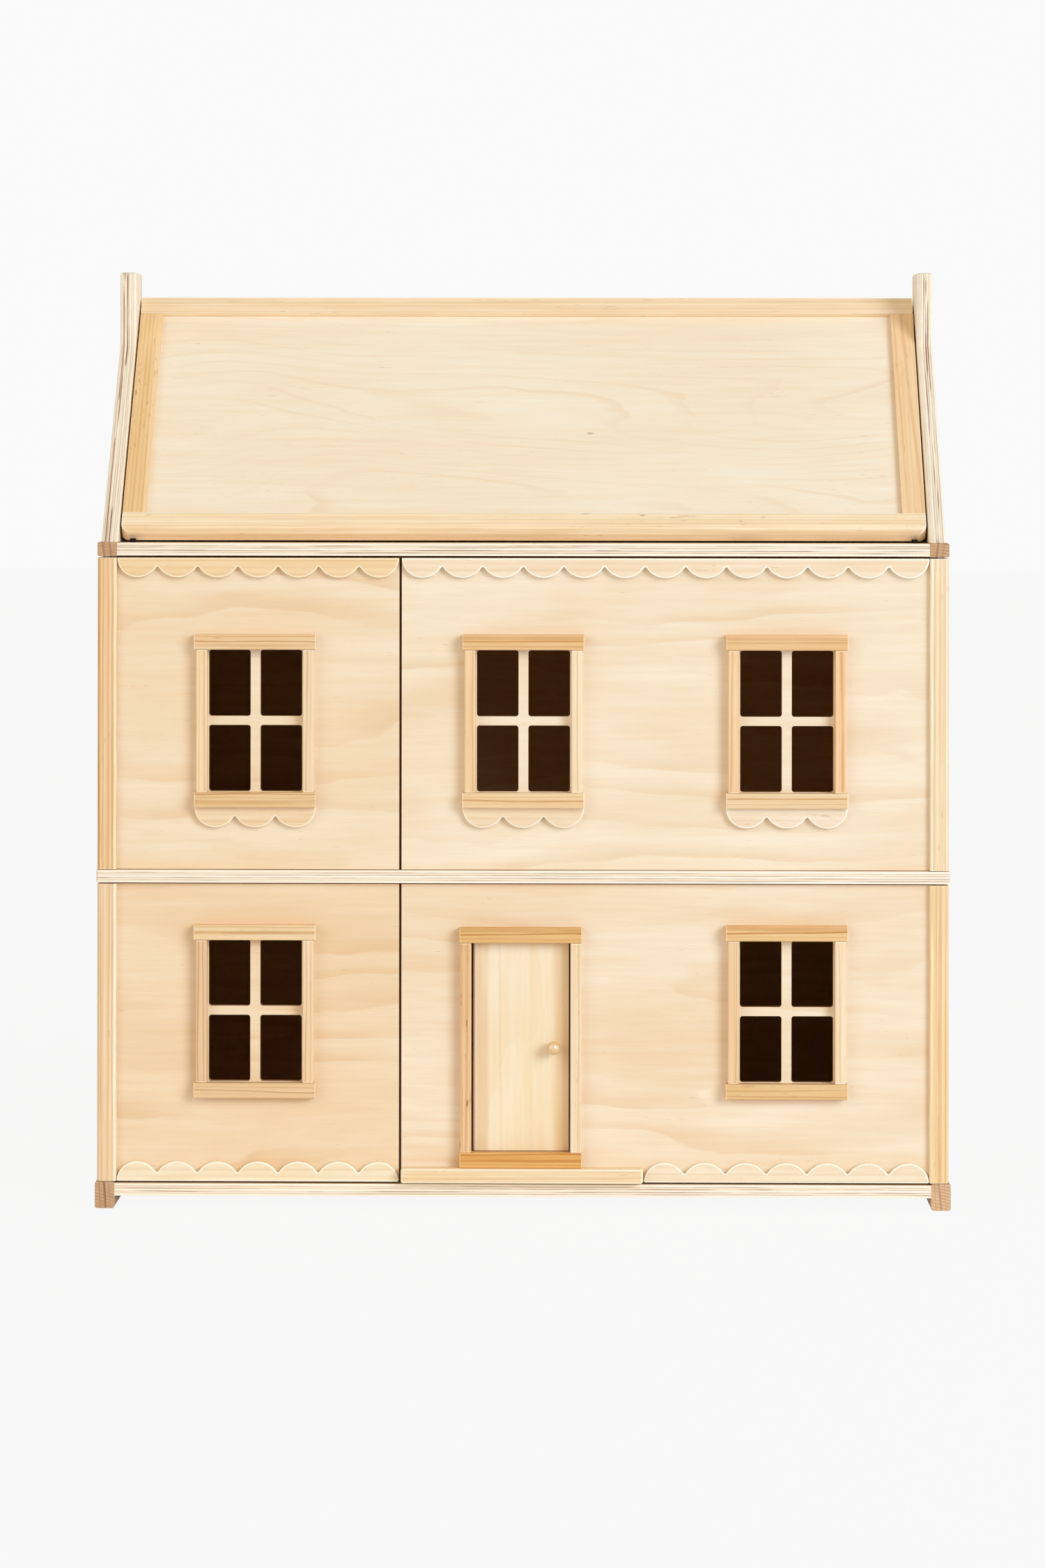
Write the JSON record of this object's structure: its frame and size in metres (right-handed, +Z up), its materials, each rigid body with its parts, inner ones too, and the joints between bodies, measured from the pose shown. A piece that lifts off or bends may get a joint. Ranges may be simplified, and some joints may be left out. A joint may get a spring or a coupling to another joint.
{
  "type": "wooden dollhouse",
  "caption": "Two-storey wooden dollhouse with hinged front panels, an opening front door and a front roof panel that folds back over the ridge.",
  "frame": {"origin": "ground level under the middle of the closed house", "axes": "+Z up, -Y towards the front with the door, +X to the right as seen from the front"},
  "size_m": [0.614, 0.358, 0.676],
  "materials": {
    "front_plywood": "pale birch plywood, satin clear coat",
    "board_plywood": "birch plywood with bare layered edges, satin clear coat",
    "door_plywood": "birch plywood with upright grain, satin clear coat",
    "roof_plywood": "birch plywood, satin clear coat",
    "pine_frame": "pine with bare end grain, satin clear coat",
    "pine_trim": "planed pine with eased edges, satin clear coat",
    "beech": "turned beech, satin clear coat",
    "steel": "plain round pins",
    "rubber": "matt black"
  },
  "bodies": {
    "house": {"attic_floor": "board_plywood", "back_panel": "front_plywood", "back_roof": "roof_plywood", "base_board": "board_plywood", "floor_dowels": "beech", "front_pivot_pins": "steel", "left_attic_batten": "pine_frame", "left_foot": "pine_frame", "left_gable": "board_plywood", "lower_left_side_wall": "board_plywood", "lower_partition": "board_plywood", "lower_right_side_wall": "board_plywood", "middle_floor": "board_plywood", "ridge_batten": "pine_frame", "right_attic_batten": "pine_frame", "right_foot": "pine_frame", "right_gable": "board_plywood", "roof_bumpers": "rubber", "roof_pivot_pins": "steel", "upper_left_side_wall": "board_plywood", "upper_partition": "board_plywood", "upper_right_side_wall": "board_plywood", "wall_dowels": "beech"},
    "lower_left_front": {"lower_left_panel": "front_plywood", "lower_left_post": "pine_trim", "lower_left_scalloped_skirting": "pine_trim", "lower_left_window_head_and_sill": "pine_trim", "lower_left_window_jambs": "pine_trim"},
    "lower_right_front": {"door_head_and_sill": "pine_trim", "door_jambs": "pine_trim", "door_pins": "steel", "lower_right_panel": "front_plywood", "lower_right_post": "pine_trim", "lower_right_scalloped_skirting": "pine_trim", "lower_right_window_head_and_sill": "pine_trim", "lower_right_window_jambs": "pine_trim", "step_board": "pine_trim"},
    "upper_left_front": {"upper_left_panel": "front_plywood", "upper_left_post": "pine_trim", "upper_left_scalloped_frieze": "pine_trim", "upper_left_window_apron": "pine_trim", "upper_left_window_head_and_sill": "pine_trim", "upper_left_window_jambs": "pine_trim"},
    "upper_right_front": {"upper_middle_window_apron": "pine_trim", "upper_middle_window_head_and_sill": "pine_trim", "upper_middle_window_jambs": "pine_trim", "upper_right_panel": "front_plywood", "upper_right_post": "pine_trim", "upper_right_scalloped_frieze": "pine_trim", "upper_right_window_apron": "pine_trim", "upper_right_window_head_and_sill": "pine_trim", "upper_right_window_jambs": "pine_trim"},
    "front_door": {"door_leaf": "door_plywood", "door_knob": "beech"},
    "lifting_roof": {"roof_top_rail": "pine_trim", "roof_bottom_rail": "pine_trim", "roof_left_stile": "pine_trim", "roof_right_stile": "pine_trim", "roof_infill": "roof_plywood"}
  },
  "joints": [
    {"name": "upper_left_front_swing", "type": "hinge", "parent": "house", "child": "upper_left_front", "pos_m": [-0.2985, -0.16398, 0.3551], "axis": [0, 0, -1], "range_deg": [0, 180]},
    {"name": "upper_right_front_swing", "type": "hinge", "parent": "house", "child": "upper_right_front", "pos_m": [0.2985, -0.16398, 0.3551], "axis": [0, 0, 1], "range_deg": [0, 180]},
    {"name": "lower_left_front_swing", "type": "hinge", "parent": "house", "child": "lower_left_front", "pos_m": [-0.2985, -0.16398, 0.1261], "axis": [0, 0, -1], "range_deg": [0, 180]},
    {"name": "lower_right_front_swing", "type": "hinge", "parent": "house", "child": "lower_right_front", "pos_m": [0.2985, -0.16398, 0.1261], "axis": [0, 0, 1], "range_deg": [0, 180]},
    {"name": "front_door_swing", "type": "hinge", "parent": "lower_right_front", "child": "front_door", "pos_m": [-0.0326, -0.16348, 0.1161], "axis": [0, 0, -1], "range_deg": [0, 90]},
    {"name": "roof_lift", "type": "hinge", "parent": "house", "child": "lifting_roof", "pos_m": [0, 0.01427, 0.64817], "axis": [-1, 0, 0], "range_deg": [0, 270]}
  ]
}
